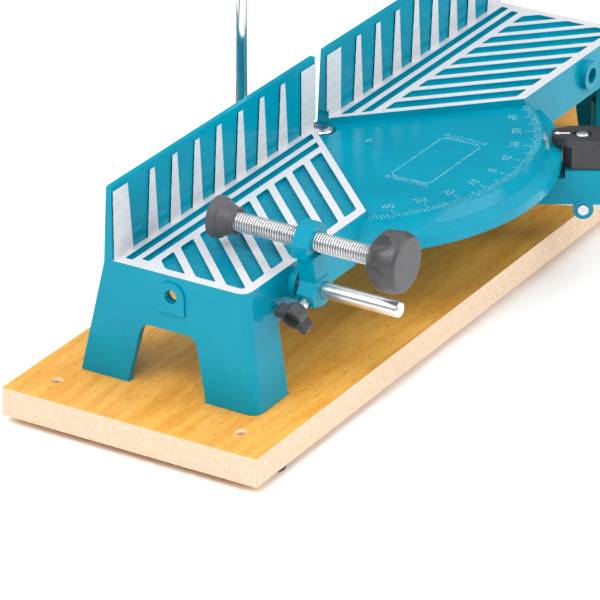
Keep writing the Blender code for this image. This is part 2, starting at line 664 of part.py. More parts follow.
def make_release_lever():
    """A steel lever under the arm, with a tooth that reaches the skirt's notches."""
    pin_r, pin_z = LEVER_PIN
    axle = rod("lever_pin", (-0.0152, -pin_r, pin_z), (0.0152, -pin_r, pin_z), 0.0035, 24)
    on_arm(axle, BARE_STEEL)

    base = BOARD_TOP
    handle = [(-0.1620, base + 0.0235), (-0.1620, base + 0.0280), (-0.1885, base + 0.0270),
              (-0.2000, base + 0.0260), (-0.2160, base + 0.0244), (-0.2290, base + 0.0205),
              (-0.2280, base + 0.0166), (-0.2160, base + 0.0203), (-0.2000, base + 0.0220),
              (-0.1885, base + 0.0230)]
    lever = prism("release_lever", handle, -0.0060, 0.0060, "YZ")
    tooth = [(-0.1700, base + 0.0225), (-0.1490, base + 0.0240), (-0.1440, base + 0.0290),
             (-0.1415, base + 0.0520), (-0.1430, base + 0.0585), (-0.1486, base + 0.0585),
             (-0.1486, base + 0.0560), (-0.1465, base + 0.0500), (-0.1490, base + 0.0310),
             (-0.1700, base + 0.0290)]
    join(lever, arm_cutter(prism("lever_tooth", tooth, -0.0030, 0.0030, "YZ")),
         arm_cutter(rod("lever_barrel", (-0.0058, -pin_r, pin_z), (0.0058, -pin_r, pin_z),
                        0.0060, 28)))
    cut(lever, arm_cutter(rod("lever_bore", (-0.02, -pin_r, pin_z), (0.02, -pin_r, pin_z),
                              0.0038, 20)))
    on_arm(lever, BARE_STEEL)


def make_lever_spring():
    """A torsion spring round the pin, beside the lever's barrel."""
    pin_r, pin_z = LEVER_PIN
    wire, coil, turns, per_turn = 0.0004, 0.0048, 2.25, 14
    count = int(turns * per_turn) + 1
    points = []
    for i in range(count):
        angle = 2.0 * math.pi * i / per_turn
        along = 0.0068 + 0.0020 * i / (count - 1)
        points.append((along, -pin_r + coil * math.cos(angle), pin_z + coil * math.sin(angle)))
    curve = bpy.data.curves.new("lever_spring", "CURVE")
    curve.dimensions = "3D"
    curve.bevel_depth = wire
    curve.bevel_resolution = 1
    curve.use_fill_caps = True
    spline = curve.splines.new("POLY")
    spline.points.add(count - 1)
    for point, place in zip(spline.points, points):
        point.co = (*place, 1.0)
    spring = bpy.data.objects.new("lever_spring", curve)
    CUTTERS.objects.link(spring)
    on_curve = bpy.data.meshes.new_from_object(spring.evaluated_get(bpy.context.evaluated_depsgraph_get()))
    bpy.data.objects.remove(spring, do_unlink=True)
    bm = bmesh.new()
    bm.from_mesh(on_curve)
    bmesh.ops.remove_doubles(bm, verts=bm.verts, dist=0.000005)
    bmesh.ops.recalc_face_normals(bm, faces=bm.faces)
    on_arm(mesh_object("lever_spring", bm), BARE_STEEL)


# ------------------------------------------------------------------ clamp
BRACKET_LEAN = math.atan2(SPINDLE_X - ROD_X, SPINDLE_Z - ROD_Z)
BRACKET_AXIS = bpy.data.objects.new("bracket_axis", None)
PARTS.objects.link(BRACKET_AXIS)
BRACKET_AXIS.location = (ROD_X, BRACKET_Y, ROD_Z)
BRACKET_AXIS.rotation_euler = (0.0, BRACKET_LEAN, 0.0)
SPINDLE_RISE = math.hypot(SPINDLE_X - ROD_X, SPINDLE_Z - ROD_Z)
WING_DIP = math.radians(17.5) + BRACKET_LEAN
WING_AXIS = Vector((-math.cos(WING_DIP), 0.0, -math.sin(WING_DIP)))


def on_bracket(obj):
    obj.parent = BRACKET_AXIS
    return obj


def make_clamp_rod():
    profile = [(0.0, 0.0), (ROD_RADIUS - 0.0012, 0.0), (ROD_RADIUS, -0.0012),
               (ROD_RADIUS, -0.0838), (0.0, -0.0838)]
    bar = turned("clamp_rod", profile, steps=32)
    bar.location = (ROD_X, ROD_FRONT, ROD_Z)
    bar.rotation_euler = (math.radians(90.0), 0.0, 0.0)
    smooth(finish(bar, BARE_STEEL))


def make_bracket():
    rise = SPINDLE_RISE
    block = [(0.0050, 0.0110), (-0.0040, 0.0110), (-0.0136, 0.0016), (-0.0126, -0.0072),
             (-0.0040, -0.0108), (0.0050, -0.0108), (0.0104, -0.0060), (0.0104, 0.0060)]
    block = [(x, z + rise) for x, z in block]
    bracket = prism("clamp_bracket", block, -0.0022, 0.0090, "XZ")
    neck = [(-0.0080, 0.003), (0.0045, 0.003), (0.0018, rise - 0.0068), (-0.0106, rise - 0.0068)]
    face = Vector((-WING_AXIS.z, 0.0, WING_AXIS.x))
    low, high = WING_AXIS * 0.0132 + face * 0.0036, WING_AXIS * 0.0132 - face * 0.0046
    if low.z > high.z:
        low, high = high, low
    boss = arc(0.0, 0.0, 0.0098, -110.0, 60.0, 14) + [(-0.0078, 0.0088)]
    boss += [(high.x, high.z), (low.x, low.z)]
    added = [prism("bracket_neck", neck, -0.0050, 0.0062, "XZ"),
             prism("bracket_boss", boss, -0.0055, 0.0056, "XZ")]
    removed = [rod("rod_bore", (0.0, -0.03, 0.0), (0.0, 0.03, 0.0), ROD_RADIUS + GAP, 28),
               rod("spindle_bore", (0.0, -0.03, rise), (0.0, 0.03, rise), SPINDLE_RADIUS + GAP, 32),
               rod("wing_bore", (0.0, 0.0, 0.0), WING_AXIS * 0.03, 0.0033, 20)]
    join(bracket, *[on_bracket(piece) for piece in added])
    cut(bracket, *[on_bracket(piece) for piece in removed])
    smooth(finish(on_bracket(bracket), PAINT))


def make_wing_screw():
    start, end = WING_AXIS * (ROD_RADIUS + 2 * GAP), WING_AXIS * 0.0246
    stem = rod("wing_screw_stem", start, end, 0.0030, 24)
    smooth(finish(on_bracket(stem), PLATED))

    head = turned("wing_screw_head", [(0.0, 0.0), (0.0060, 0.0), (0.0067, 0.0012), (0.0067, 0.0095),
                                      (0.0052, 0.0095), (0.0050, 0.0052), (0.0, 0.0052)], steps=32)
    outline = [(0.0030, -0.0023), (0.0108, -0.0023), (0.0122, -0.0009), (0.0122, 0.0012),
               (0.0110, 0.0023), (0.0030, 0.0023)]
    wings = [prism(f"wing_{n}", outline, 0.0004, 0.0088) for n in range(2)]
    hollow = rod("wing_hollow", (0.0, 0.0, 0.0052), (0.0, 0.0, 0.0200), 0.0050, 28)
    core = rod("wing_core", (0.0, 0.0, -0.01), (0.0, 0.0, 0.0041), 0.0033, 20)
    turn = WING_AXIS.to_track_quat("Z", "Y").to_matrix().to_4x4()
    for piece, spin in ((head, 0.0), (hollow, 0.0), (core, 0.0), (wings[0], -52.0), (wings[1], 174.0)):
        spin = Matrix.Rotation(math.radians(spin), 4, "Z")
        piece.matrix_basis = Matrix.Translation(WING_AXIS * 0.0208) @ turn @ spin
        on_bracket(piece)
    join(head, *wings)
    cut(head, hollow, core)
    smooth(finish(head, PLASTIC))


def make_spindle():
    """A threaded spindle with a rubber pad at the fence end and a lobed knob in front."""
    front, back = KNOB_BACK - 0.010, PAD_FACE - 0.0065
    length = back - front
    profile = [(0.0, length), (0.0042, length), (SPINDLE_RADIUS, length - 0.0016),
               (SPINDLE_RADIUS, 0.0), (0.0, 0.0)]
    spindle = turned("spindle", profile, steps=32)
    spindle.location = (SPINDLE_X, front, SPINDLE_Z)
    spindle.rotation_euler = (math.radians(-90.0), 0.0, 0.0)
    smooth(finish(spindle, PLATED))

    inner = SPINDLE_RADIUS + GAP
    profile = [(0.0, 0.0), (0.0122, 0.0), (0.0132, -0.0008), (0.0132, -0.0040), (0.0120, -0.0048),
               (0.0112, -0.0066), (0.0088, -0.0150), (0.0080, -0.0182), (inner, -0.0182),
               (inner, -0.0060), (0.0, -0.0060)]
    pad = turned("clamp_pad", profile, steps=28)
    pad.location = (SPINDLE_X, PAD_FACE, SPINDLE_Z)
    pad.rotation_euler = (math.radians(-90.0), 0.0, 0.0)
    smooth(finish(pad, RUBBER))


def make_knob():
    """Six lobes round a hub, narrowing to a flat front disc."""
    lobes, radius, depth = 6, 0.0195, 0.0215
    outline = []
    steps = 12
    for n in range(lobes * steps):
        angle = 2.0 * math.pi * n / (lobes * steps)
        outline.append((0.0178 + 0.0021 * math.cos(lobes * angle), angle))
    outline = [(r * math.cos(a), r * math.sin(a)) for r, a in outline]
    knob = prism("knob", outline, 0.0, depth)
    profile = [(0.0, depth), (0.0142, depth), (radius, depth - 0.0070), (radius, 0.0080),
               (0.0130, 0.0), (0.0, 0.0)]
    envelope = turned("knob_envelope", profile, steps=36)
    bore = rod("knob_bore", (0.0, 0.0, -0.01), (0.0, 0.0, 0.0105), SPINDLE_RADIUS + GAP, 28)
    boolean(knob, [envelope], "INTERSECT")
    cut(knob, bore)
    for piece in (knob, envelope, bore):
        piece.location = (SPINDLE_X, KNOB_BACK, SPINDLE_Z)
        piece.rotation_euler = (math.radians(90.0), 0.0, 0.0)
    smooth(finish(knob, PLASTIC))


# ------------------------------------------------------------------ the whole model
make_board()
make_feet()
screws_from_below("foot_screw", FOOT_PLACES, 0.0004, 0.0042, 0.0016, 0.0018, 0.0145)
screws_from_below("base_screw", SCREW_PLACES, FOOT_HEIGHT + 0.0016, HEAD_RADIUS, HEAD_DEEP,
                  0.0028, 0.032)
make_casting()
make_pivot()
make_arm()
make_posts()
make_pointer()
make_release_lever()
make_lever_spring()
make_clamp_rod()
make_bracket()
make_wing_screw()
make_spindle()
make_knob()
bpy.context.view_layer.update()
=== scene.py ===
# %% [markdown]
# # The base of a manual mitre saw
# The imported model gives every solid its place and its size. This lesson dresses it: it loads
# that model, leaves it where it is, and lays finer surfaces and finishes over it. Every
# length is in metres, X runs along the fence, Y towards the back and Z up.

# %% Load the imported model
import json
import math

import bmesh
import bpy
import numpy as np
from mathutils import Matrix, Vector


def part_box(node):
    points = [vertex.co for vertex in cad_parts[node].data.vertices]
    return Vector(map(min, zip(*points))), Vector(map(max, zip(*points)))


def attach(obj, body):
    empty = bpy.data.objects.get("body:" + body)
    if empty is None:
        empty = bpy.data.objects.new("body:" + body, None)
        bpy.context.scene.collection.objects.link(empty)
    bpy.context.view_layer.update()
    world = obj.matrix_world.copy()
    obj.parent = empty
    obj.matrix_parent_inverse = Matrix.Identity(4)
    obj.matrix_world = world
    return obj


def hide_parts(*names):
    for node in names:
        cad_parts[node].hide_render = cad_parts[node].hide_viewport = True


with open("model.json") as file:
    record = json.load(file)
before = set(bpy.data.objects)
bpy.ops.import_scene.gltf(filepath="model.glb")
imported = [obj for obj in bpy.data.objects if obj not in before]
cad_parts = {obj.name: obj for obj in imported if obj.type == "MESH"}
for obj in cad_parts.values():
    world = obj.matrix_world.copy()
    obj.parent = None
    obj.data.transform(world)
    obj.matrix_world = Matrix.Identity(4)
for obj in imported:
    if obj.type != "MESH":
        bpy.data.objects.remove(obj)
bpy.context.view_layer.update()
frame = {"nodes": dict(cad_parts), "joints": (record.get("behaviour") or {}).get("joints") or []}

# %% [markdown]
# ## Places to measure from
# The swing arm's hinge gives the pivot, and the nodes' boxes give the heights. The arm is
# packed at rest, turned 30 degrees, so a small matrix carries its pieces round the pivot.

# %% Pivot and heights
hinge = {joint["name"]: joint for joint in frame["joints"]}
PIVOT = Vector(hinge["arm_swing"]["pos_m"])
BOARD_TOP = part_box("board")[1].z
TABLE = BOARD_TOP + 0.0783        # the milled tops of the table's slats
PLATE = BOARD_TOP + 0.0735        # the top of the protractor plate
STRIPE = PIVOT.y + 0.0003         # the milled faces of the fence's stripes
ARM_TURN = Matrix.Translation((0, PIVOT.y, 0)) @ Matrix.Rotation(math.radians(30), 4, "Z")
print("pivot", tuple(round(v, 4) for v in PIVOT), "table at", round(TABLE, 4))

# %% [markdown]
# ## Camera
# A long lens, well back and to the left, so that the edges stay almost parallel, as in a
# catalogue picture. It looks down at 26 degrees and across the object at 59 degrees.

# %% Camera
camera = bpy.data.objects.new("camera", bpy.data.cameras.new("camera"))
bpy.context.scene.collection.objects.link(camera)
bpy.context.scene.camera = camera
camera.data.lens, camera.data.sensor_width = 255.0, 36.0
camera.location = (-2.1340, PIVOT.y - 1.2735, 1.1831)
camera.rotation_euler = (math.radians(64.108), 0.0, math.radians(-58.854))
print("camera", round((camera.location - PIVOT).length, 2), "m from the pivot")


# %% [markdown]
# ## Small helpers
# Colours are written as the hex values a picture editor shows, and the shader wants them
# linear. One function adds a shader node with its settings and links, so that each material
# below reads as a short list.

# %% Colour and node helpers
def linear(hex_colour, alpha=1.0):
    """sRGB to linear: c/12.92 below 0.04045, else ((c + 0.055) / 1.055) to the power 2.4."""
    values = np.array([int(hex_colour[i:i + 2], 16) for i in (1, 3, 5)]) / 255.0
    values = np.where(values <= 0.04045, values / 12.92, ((values + 0.055) / 1.055) ** 2.4)
    return (*values.tolist(), alpha)


def add(tree, kind, inputs=None, **settings):
    """A node of one kind. Each input is a value, or another node's output to link."""
    node = tree.nodes.new(kind)
    for name, value in settings.items():
        setattr(node, name, value)
    for key, value in (inputs or {}).items():
        if isinstance(value, bpy.types.NodeSocket):
            tree.links.new(value, node.inputs[key])
        else:
            node.inputs[key].default_value = value
    return node


def ramp(tree, factor, *stops):
    """A colour ramp from (position, colour) stops, where a colour is hex or a number."""
    node = add(tree, "ShaderNodeValToRGB", {"Fac": factor})
    band = node.color_ramp
    while len(band.elements) < len(stops):
        band.elements.new(0.5)
    for element, (place, colour) in zip(band.elements, stops):
        element.position = place
        element.color = linear(colour) if isinstance(colour, str) else (colour,) * 3 + (1.0,)
    return node.outputs["Color"]


def blank(name, **sockets):
    """A material with a Principled shader. Underscores in a socket's name stand for spaces."""
    made = bpy.data.materials.new(name)
    made.use_nodes = True
    shader = made.node_tree.nodes["Principled BSDF"]
    for key, value in sockets.items():
        shader.inputs[key.replace("_", " ")].default_value = value
    return made, made.node_tree, shader


def scaled(tree, scale=(1.0, 1.0, 1.0), centre=(0.0, 0.0, 0.0)):
    """Object coordinates, centred on a point and scaled along each axis."""
    place = add(tree, "ShaderNodeTexCoord").outputs["Object"]
    moved = add(tree, "ShaderNodeMapping", {"Vector": place, "Scale": scale}, vector_type="POINT")
    moved.inputs["Location"].default_value = [-c * s for c, s in zip(centre, scale)]
    return moved.outputs["Vector"]


def noise(tree, vector, size, detail=2.0, roughness=0.5, out="Fac"):
    """Noise whose blotches are about size metres across."""
    node = add(tree, "ShaderNodeTexNoise", {"Vector": vector, "Scale": 1.0 / size,
                                            "Detail": detail, "Roughness": roughness})
    return node.outputs[out]


def sums(tree, operation, a, b=0.0, clamp=False):
    node = add(tree, "ShaderNodeMath", {0: a, 1: b}, operation=operation, use_clamp=clamp)
    return node.outputs[0]


def product(tree, *factors):
    """All the factors multiplied together."""
    total = factors[0]
    for factor in factors[1:]:
        total = sums(tree, "MULTIPLY", total, factor)
    return total


def between(tree, value, low, high, soft):
    """1 where value lies between low and high, 0 outside, over a soft edge of that width."""
    rise = add(tree, "ShaderNodeMapRange", {"Value": value, "From Min": low - soft,
                                            "From Max": low + soft}).outputs["Result"]
    fall = add(tree, "ShaderNodeMapRange", {"Value": value, "From Min": high + soft,
                                            "From Max": high - soft}).outputs["Result"]
    return sums(tree, "MULTIPLY", rise, fall)


def blend_colours(tree, factor, a, b, way="MIX"):
    node = add(tree, "ShaderNodeMix", {"Factor": factor}, data_type="RGBA", blend_type=way)
    for socket, value in ((node.inputs[6], a), (node.inputs[7], b)):
        if isinstance(value, str):
            socket.default_value = linear(value)
        else:
            tree.links.new(value, socket)
    return node.outputs[2]


def bumped(tree, shader, height, distance, strength=1.0):
    node = add(tree, "ShaderNodeBump", {"Height": height, "Distance": distance,
                                        "Strength": strength})
    tree.links.new(node.outputs["Normal"], shader.inputs["Normal"])


print("helpers ready; teal in linear light:", [round(v, 3) for v in linear("#0092B2")[:3]])

# %% [markdown]
# ## Enamel on a casting
# The body is cast, sprayed with a glossy machine enamel and baked. Sand-cast metal leaves a
# gentle waviness of a few millimetres under the paint, and the paint itself an orange peel
# of about a millimetre. After painting, the wear faces are milled: the tops of the table's
# slats and the fence's stripes are bright metal. They are told apart by where they are:
# every face at the table's height or in the stripes' plane has lost its paint. On the scale
# and its figures, pale patches are painted highlight for the light on their raised edges.


# %% Enamel and milled faces
GLOSS, DULL = 0.16, 0.34          # the paint's roughness, and what milling adds to it
SKIN = 0.00022                    # depth of the paint's waves
HARD = 0.00005                    # half width of the paint's edge at a milled face


def enamel(name, milled=False, highlight_paint=0.0):
    """Glossy paint. Milled faces are bare metal, and pale patches are a painted highlight."""
    made, tree, shader = blank(name, Roughness=GLOSS, Specular_IOR_Level=0.16)
    place = scaled(tree)
    cloud = noise(tree, place, 0.045, 3.0)
    paint = ramp(tree, cloud, (0.30, "#007C94"), (0.55, "#00839B"), (0.80, "#008AA2"))
    wavy = noise(tree, place, 0.006, 2.0)
    peel = noise(tree, place, 0.0012, 1.0)
    height = sums(tree, "ADD", wavy, sums(tree, "MULTIPLY", peel, 0.25))
    if not milled:
        # pale patches here are painted highlight for the light on raised edges
        wear_and_highlight = sums(tree, "MULTIPLY", ramp(tree, peel, (0.35, 0.0), (0.6, 1.0)), highlight_paint)
        tree.links.new(blend_colours(tree, wear_and_highlight, paint, "#BFE6EE"), shader.inputs["Base Color"])
        bumped(tree, shader, height, SKIN)
        return made
    split = add(tree, "ShaderNodeSeparateXYZ", {0: place})
    x, y, z = split.outputs
    facing = add(tree, "ShaderNodeNewGeometry").outputs["Normal"]
    facing = add(tree, "ShaderNodeSeparateXYZ", {0: facing}).outputs
    ragged = sums(tree, "SUBTRACT", noise(tree, place, 0.0016, 3.0), 0.5)
    ragged = sums(tree, "MULTIPLY", ragged, 0.0012)
    table = between(tree, sums(tree, "ADD", z, sums(tree, "MULTIPLY", ragged, 0.12)),
                    TABLE - 0.00022, TABLE + 0.001, HARD)
    table = sums(tree, "MULTIPLY", table, between(tree, facing[2], 0.6, 2.0, 0.1))
    stripe = between(tree, sums(tree, "ADD", y, sums(tree, "MULTIPLY", ragged, 0.25)),
                     STRIPE - 0.0010, STRIPE + 0.00025, HARD)
    stripe = sums(tree, "MULTIPLY", stripe, between(tree, z, TABLE - 0.0005, 1.0, 0.0001))
    stripe = sums(tree, "MULTIPLY", stripe, between(tree, facing[1], -2.0, -0.6, 0.1))
    bare = sums(tree, "MAXIMUM", table, stripe)
    # milling marks run along the fence, about 0.4 mm apart, drawn at 0.9 mm so that they show
    swirl = noise(tree, scaled(tree, (0.06, 1.0, 0.35)), 0.0009, 2.0)
    metal = ramp(tree, swirl, (0.25, "#C6C8CC"), (0.75, "#D6D7DA"))
    # the stripes' left walls are darker, in a broken line near the stripes' plane
    broken = ramp(tree, noise(tree, place, 0.0022, 2.0), (0.40, 0.2), (0.50, 1.0))
    dark_wall_line = product(tree, between(tree, facing[0], -2.0, -0.5, 0.1),
                   between(tree, y, STRIPE - 0.0008, STRIPE + 0.0008, HARD),
                   between(tree, z, TABLE + 0.0005, 1.0, 0.0001), broken)
    paint = blend_colours(tree, dark_wall_line, paint, "#08303C")
    # pocket and slot floors keep the rough skin of the sand mould
    floor = sums(tree, "MULTIPLY", between(tree, z, TABLE - 0.0040, TABLE - 0.0008, 0.0001),
                 between(tree, facing[2], 0.6, 2.0, 0.1))
    grit = noise(tree, place, 0.0016, 2.0)
    spots = ramp(tree, grit, (0.52, 0.0), (0.66, 1.0))
    paint = blend_colours(tree, product(tree, floor, 0.55, spots), paint, "#00627C")
    height = sums(tree, "ADD", height, product(tree, floor, 1.6, grit))
    colour = blend_colours(tree, bare, paint, metal)
    tree.links.new(colour, shader.inputs["Base Color"])
    tree.links.new(sums(tree, "MULTIPLY", bare, 0.30), shader.inputs["Metallic"])
    rough = sums(tree, "ADD", GLOSS, sums(tree, "MULTIPLY", bare, DULL))
    tree.links.new(rough, shader.inputs["Roughness"])
    smoother = sums(tree, "SUBTRACT", 1.0, sums(tree, "MULTIPLY", bare, 0.85))
    bumped(tree, shader, sums(tree, "MULTIPLY", height, smoother), SKIN)
    return made


ENAMEL = enamel("machine_enamel")
MILLED = enamel("milled_casting_enamel", milled=True)
# the pale enamel of the scale, its figures and the panel is painted highlight
HIGHLIGHT_ENAMEL = enamel("highlight_painted_enamel", highlight_paint=0.28)
print("enamels:", ", ".join(m.name for m in (ENAMEL, MILLED, HIGHLIGHT_ENAMEL)))

# %% [markdown]
# ## Beech-faced board
# The board is fibreboard with a lacquered beech veneer. Beech has straight grain with short
# dark flecks, one to three millimetres long and about 0.2 wide, all along the grain, which
# are drawn a few times larger so that they show. The sawn edges show the fibreboard: a fine,
# even, brown felt. The top and the edges are told apart by the way their faces point.


# %% Veneer and fibreboard
def beech_board(name):
    """Veneer on the faces that look up or down, bare fibreboard on the others."""
    made, tree, shader = blank(name, Roughness=0.38, Coat_Weight=0.12, Coat_Roughness=0.25)
    along = scaled(tree, (0.10, 1.0, 1.0))
    wander = noise(tree, scaled(tree, (0.5, 1.0, 1.0)), 0.05, 2.0)
    bent = add(tree, "ShaderNodeVectorMath", {0: along, 1: (0.0, 0.0, 0.0)}, operation="ADD")
    shift = add(tree, "ShaderNodeCombineXYZ", {"Y": sums(tree, "MULTIPLY", wander, 0.012)})
    tree.links.new(shift.outputs[0], bent.inputs[1])
    grain = noise(tree, bent.outputs[0], 0.009, 5.0, 0.62)
    veneer = ramp(tree, grain, (0.28, "#D08C2E"), (0.45, "#DC9A3A"), (0.60, "#E6AA4C"),
                  (0.78, "#D69434"))
    flecks = noise(tree, scaled(tree, (0.16, 1.0, 1.0)), 0.0011, 1.0)
    flecks = ramp(tree, flecks, (0.60, 0.0), (0.72, 1.0))
    veneer = blend_colours(tree, sums(tree, "MULTIPLY", flecks, 0.45), veneer, "#9A601C")
    felt = noise(tree, scaled(tree, (1.0, 1.0, 0.7)), 0.0009, 3.0, 0.7)
    fibre = ramp(tree, felt, (0.30, "#BFA083"), (0.50, "#D3B89D"), (0.72, "#E3CDB5"))
    facing = add(tree, "ShaderNodeNewGeometry").outputs["Normal"]
    up = add(tree, "ShaderNodeSeparateXYZ", {0: facing}).outputs[2]
    top = between(tree, up, 0.75, 2.0, 0.1)
    under = between(tree, up, -2.0, -0.75, 0.1)
    faced = sums(tree, "MAXIMUM", top, under)
    tree.links.new(blend_colours(tree, faced, fibre, veneer), shader.inputs["Base Color"])
    rough = sums(tree, "SUBTRACT", 0.85, sums(tree, "MULTIPLY", faced, 0.47))
    tree.links.new(rough, shader.inputs["Roughness"])
    height = add(tree, "ShaderNodeMix", {"Factor": faced, 2: felt,
                                         3: sums(tree, "MULTIPLY", flecks, -0.15)})
    bumped(tree, shader, height.outputs[0], 0.00025)
    return made


BOARD = beech_board("beech_faced_fibreboard")
print("board:", BOARD.name)

# %% [markdown]
# ## Bright metals
# The spindle and the clamp rod are zinc plated, the guide posts ground and chromed, the
# lever is bright rolled steel. Turned and ground metal carries faint rings round its axis,
# and plated metal is slightly cloudy, so each roughness varies by about a tenth.


# %% Metals
def metal(name, light, dark, roughness, cloud=0.012, scratch=0.0006, depth=0.00002,
          stretch=(1, 1, 1)):
    """Bare or plated metal: cloudy in colour, finely scratched in roughness."""
    made, tree, shader = blank(name, Metallic=1.0)
    blot = noise(tree, scaled(tree), cloud, 3.0)
    tree.links.new(ramp(tree, blot, (0.3, dark), (0.7, light)), shader.inputs["Base Color"])
    fine = noise(tree, scaled(tree, stretch), scratch, 2.0)
    spread = sums(tree, "MULTIPLY", sums(tree, "SUBTRACT", fine, 0.5), 0.22)
    tree.links.new(sums(tree, "ADD", spread, roughness), shader.inputs["Roughness"])
    bumped(tree, shader, fine, depth)
    return made


ZINC = metal("bright_zinc_plate", "#E4E5E6", "#D2D3D6", 0.33, stretch=(1.0, 0.08, 1.0))
CHROME = metal("ground_chromed_steel", "#E4E6E9", "#CDD0D5", 0.12, stretch=(1.0, 1.0, 0.1))
PLATED = metal("zinc_plated_fastener", "#DADCE0", "#B9BCC2", 0.26, cloud=0.004)
ROLLED = metal("rolled_steel", "#D4D6D8", "#B2B5B8", 0.34, cloud=0.02, stretch=(0.2, 1.0, 1.0))
BLACKED = metal("blackened_steel", "#4A4B4E", "#2C2D2F", 0.38, cloud=0.003)
BRONZE = metal("sintered_bronze", "#B98A4E", "#8F6535", 0.42, cloud=0.003)
print("metals:", ", ".join(m.name for m in (ZINC, CHROME, PLATED, ROLLED, BLACKED, BRONZE)))

# %% [markdown]
# ## Moulded black pieces
# The knob and the wing screw's head are injection-moulded nylon filled with glass, and the
# pointer cover is moulded ABS. A spark-eroded mould leaves a grain of about 0.15 mm and a
# grey bloom. The pad and the feet are rubber, and duller. The grain is drawn at 0.4 to
# 0.8 mm so that it shows.


# %% Plastics and rubber
def moulded(name, light, dark, roughness, grain=0.0004, depth=0.00005, sheen=0.0):
    """Plastic or rubber with a soft bloom and a fine moulded grain."""
    made, tree, shader = blank(name, Sheen_Weight=sheen, Sheen_Roughness=0.5, IOR=1.5)
    place = scaled(tree)
    bloom = noise(tree, place, 0.014, 3.0)
    speck = noise(tree, place, grain, 2.0)
    tone = sums(tree, "ADD", sums(tree, "MULTIPLY", bloom, 0.7),
                sums(tree, "MULTIPLY", speck, 0.3))
    tree.links.new(ramp(tree, tone, (0.32, dark), (0.68, light)), shader.inputs["Base Color"])
    spread = sums(tree, "MULTIPLY", sums(tree, "SUBTRACT", bloom, 0.5), 0.2)
    tree.links.new(sums(tree, "ADD", spread, roughness), shader.inputs["Roughness"])
    bumped(tree, shader, speck, depth)
    return made


NYLON = moulded("moulded_black_nylon", "#464648", "#353537", 0.40)
COVER = moulded("black_abs_cover", "#343436", "#262628", 0.33, grain=0.0006)
RUBBER = moulded("pad_rubber", "#4A4A4C", "#38383A", 0.55, grain=0.0008, sheen=0.15)
FOOT = moulded("foot_rubber", "#2A2A2B", "#1B1B1C", 0.7, grain=0.0007, sheen=0.1)


def lacquer(name, colour, wear_and_highlight, roughness):
    """Printed paint: even, with a slight mottle of about 2 mm."""
    made, tree, shader = blank(name, Roughness=roughness)
    mottle = noise(tree, scaled(tree), 0.002, 2.0)
    tree.links.new(ramp(tree, mottle, (0.35, wear_and_highlight), (0.6, colour)), shader.inputs["Base Color"])
    return made


WHITE = lacquer("white_print", "#F2F2F0", "#E4E4E2", 0.5)
print("moulded:", ", ".join(m.name for m in (NYLON, COVER, RUBBER, FOOT, WHITE)))


# %% [markdown]
# ## Making surfaces
# A new piece is a grid of points: rows along it, columns round it. The columns close on
# themselves, and each end is gathered into one point, so that the skin is closed. A turned
# piece is a profile of radius and place along an axis, and a thread only lets the radius
# change with the angle too.


# %% Grid to mesh
def dress(obj, body, material, *replaced, slot=None):
    """Links a finished object, gives it its material, and lets it ride on a body."""
    if obj.name not in bpy.context.scene.collection.objects:
        bpy.context.scene.collection.objects.link(obj)
    obj.data.materials.clear()
    obj.data.materials.append(material)
    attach(obj, body)
    if replaced:
        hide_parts(*replaced)
    return obj


def smooth(mesh, degrees=35.0):
    mesh.shade_smooth()
    mesh.set_sharp_from_angle(angle=math.radians(degrees))
    return mesh


def closed_skin(name, points, degrees=35.0):
    """A mesh from points[row, column]: columns wrap round, end rows meet in a point each."""
    rows, columns = points.shape[:2]
    ends = np.stack([points[0].mean(0), points[-1].mean(0)])
    r, c = np.meshgrid(np.arange(rows - 1), np.arange(columns), indexing="ij")
    after = (c + 1) % columns
    quads = np.stack([r * columns + c, r * columns + after, (r + 1) * columns + after,
                      (r + 1) * columns + c], -1).reshape(-1, 4)
    ring = np.arange(columns)
    first, last = rows * columns, rows * columns + 1
    cap = np.stack([np.full(columns, first), (ring + 1) % columns, ring], -1)
    base = (rows - 1) * columns
    end = np.stack([np.full(columns, last), base + ring, base + (ring + 1) % columns], -1)
    mesh = bpy.data.meshes.new(name)
    mesh.from_pydata(np.concatenate([points.reshape(-1, 3), ends]).tolist(), [],
                     quads.tolist() + cap.tolist() + end.tolist())
    turn_out(mesh)
    return bpy.data.objects.new(name, smooth(mesh, degrees))


def turn_out(mesh, merge=1e-7):
    """Makes every face of a closed mesh point outwards, once its doubles are merged."""
    bm = bmesh.new()
    bm.from_mesh(mesh)
    bmesh.ops.remove_doubles(bm, verts=bm.verts, dist=merge)
    bmesh.ops.recalc_face_normals(bm, faces=bm.faces)
    bm.to_mesh(mesh)
    bm.free()


def axes(along):
    """Two directions at right angles to along, so that first x second = along."""
    along = Vector(along).normalized()
    first = along.orthogonal().normalized()
    return np.array(first), np.array(along.cross(first)), np.array(along)


def turned(name, origin, along, profile, columns=64, radius=None, degrees=35.0):
    """Points at origin + s along + R (cos a first + sin a second), with R from the profile.

    radius(R, s, a) may change R by the angle a, for a thread or for lobes.
    """
    profile = np.array(profile, float)
    r = np.repeat(profile[:, :1], columns, axis=1)
    s = np.repeat(profile[:, 1:], columns, axis=1)
    a = np.broadcast_to(np.linspace(0, 2 * np.pi, columns, endpoint=False), r.shape)
    if radius is not None:
        r = radius(r, s, a)
    first, second, third = axes(along)
    points = (np.array(origin) + s[..., None] * third
              + r[..., None] * (np.cos(a)[..., None] * first + np.sin(a)[..., None] * second))
    return closed_skin(name, points, degrees)


def rounded(corners, radius, steps=4):
    """A profile whose inner corners are rounded: each corner is cut by a quadratic curve."""
    out = [corners[0]]
    for before, corner, after in zip(corners, corners[1:], corners[2:]):
        b, c, d = (np.array(p, float) for p in (before, corner, after))
        reach = [min(radius, 0.45 * np.linalg.norm(p - c)) for p in (b, d)]
        start = c + (b - c) / np.linalg.norm(b - c) * reach[0]
        end = c + (d - c) / np.linalg.norm(d - c) * reach[1]
        for t in np.linspace(0, 1, steps + 1):
            out.append(tuple((1 - t) ** 2 * start + 2 * t * (1 - t) * c + t * t * end))
    return out + [corners[-1]]


